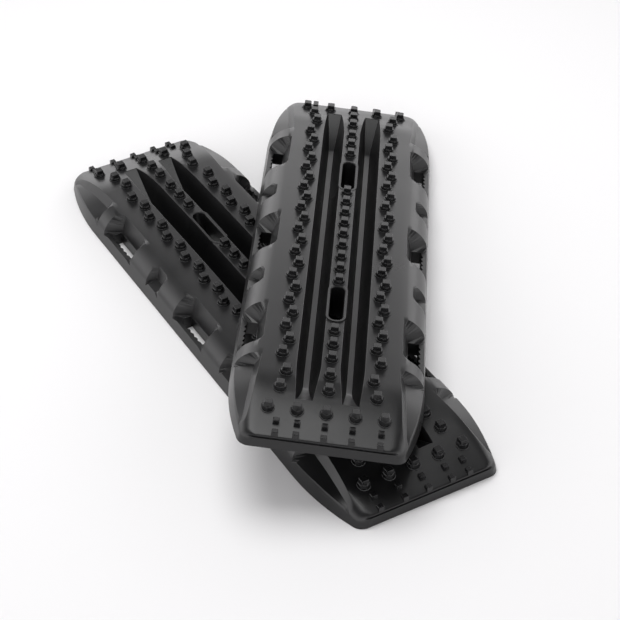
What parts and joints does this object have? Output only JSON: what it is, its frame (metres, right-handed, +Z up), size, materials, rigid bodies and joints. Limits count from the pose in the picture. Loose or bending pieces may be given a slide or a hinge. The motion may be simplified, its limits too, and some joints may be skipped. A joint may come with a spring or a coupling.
{
  "type": "pair of vehicle traction boards",
  "caption": "Black moulded vehicle recovery boards with studded decks, channels, slots and side hand openings, one lying crossed over the other.",
  "frame": {"origin": "middle of the pair's footprint, on the surface it stands on", "axes": "+Z up; +Y along the lower board, towards its far end; +X across the lower board, towards the side where the upper board comes down to the ground"},
  "size_m": [0.8318, 1.15, 0.1894],
  "materials": {
    "lower_plastic": "satin black, lightly textured moulding",
    "upper_plastic": "satin black, lightly textured moulding"
  },
  "bodies": {
    "lower": {"lower_board": "lower_plastic"},
    "upper": {"upper_board": "upper_plastic"}
  },
  "joints": [
    {"name": "upper_board_lift", "type": "slide", "parent": "lower", "child": "upper", "axis": [0, 0, 1], "range_m": [0, 0.25]}
  ]
}
